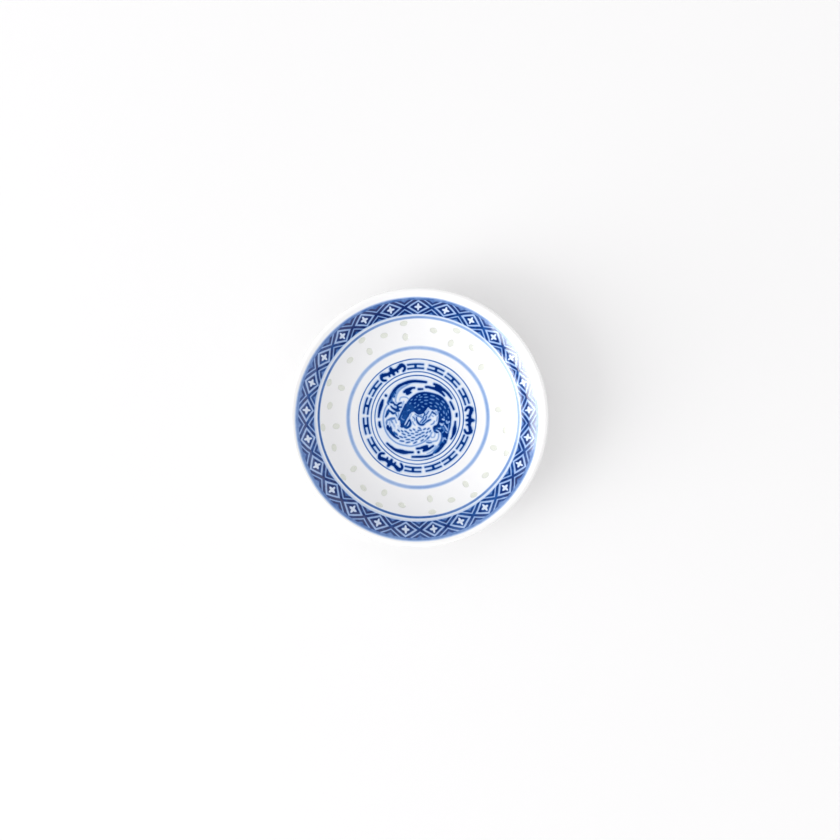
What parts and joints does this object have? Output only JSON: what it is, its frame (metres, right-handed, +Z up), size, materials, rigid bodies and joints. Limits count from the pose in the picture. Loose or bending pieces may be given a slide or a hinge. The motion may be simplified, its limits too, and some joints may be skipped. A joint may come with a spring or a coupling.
{
  "type": "soy sauce dish",
  "caption": "Small round porcelain dish on a foot ring, with a curved wall, a flared round lip and rows of glaze-filled rice-grain holes through the wall.",
  "frame": {"origin": "on the table under the dish's centre, in the plane that the foot ring stands on", "axes": "+Z up along the dish's axis; +X to the picture's right and +Y to its top"},
  "size_m": [0.1, 0.1, 0.02],
  "materials": {
    "porcelain": "clear glossy glaze over white porcelain",
    "grain_glaze": "clear glaze, faintly green and translucent"
  },
  "bodies": {
    "root": {"porcelain_body": "porcelain", "grain_windows_inner": "grain_glaze", "grain_windows_middle": "grain_glaze", "grain_windows_outer": "grain_glaze"}
  },
  "joints": []
}
